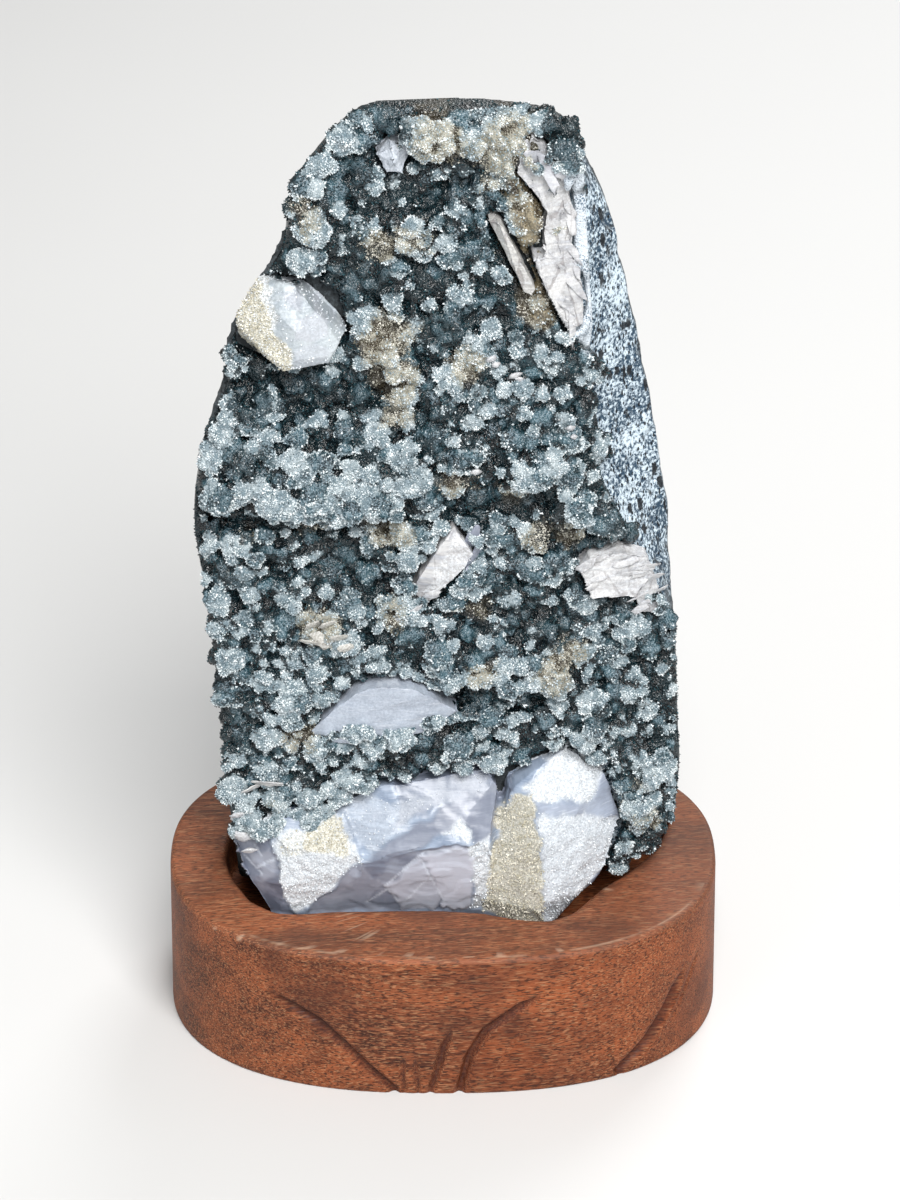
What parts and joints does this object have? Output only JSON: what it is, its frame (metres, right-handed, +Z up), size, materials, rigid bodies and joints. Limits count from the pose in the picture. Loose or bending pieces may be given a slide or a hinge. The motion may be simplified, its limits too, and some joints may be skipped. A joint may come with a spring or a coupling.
{
  "type": "calcite with quartz on a wooden stand",
  "caption": "Upright slab of basalt with a grey-green quartz crust and calcite crystals, standing in a carved oval wooden stand.",
  "frame": {"origin": "centre of the whole object's box at the underside of the stand", "axes": "+Z up, -Y out of the crystal-covered face towards the viewer, +X to the viewer's right"},
  "size_m": [0.1714, 0.1204, 0.3094],
  "materials": {
    "stand_wood": "satin",
    "basalt": "rough, with small vesicles",
    "quartz_crust": "sugary, glittering",
    "calcite_white": "frosted, partly clear",
    "calcite_lavender": "smooth cleavage faces, partly clear",
    "calcite_seam": "dull, platy"
  },
  "bodies": {
    "root": {"wooden_stand": "stand_wood", "basalt_slab": "basalt", "quartz_crust": "quartz_crust", "calcite_base_cluster": "calcite_lavender", "calcite_left": "calcite_white", "calcite_lens_blade": "calcite_lavender", "calcite_middle_blade": "calcite_seam", "calcite_upper_seam": "calcite_seam", "calcite_upper_blade": "calcite_seam", "calcite_lower_seam": "calcite_seam", "calcite_knob": "calcite_lavender"}
  },
  "joints": []
}
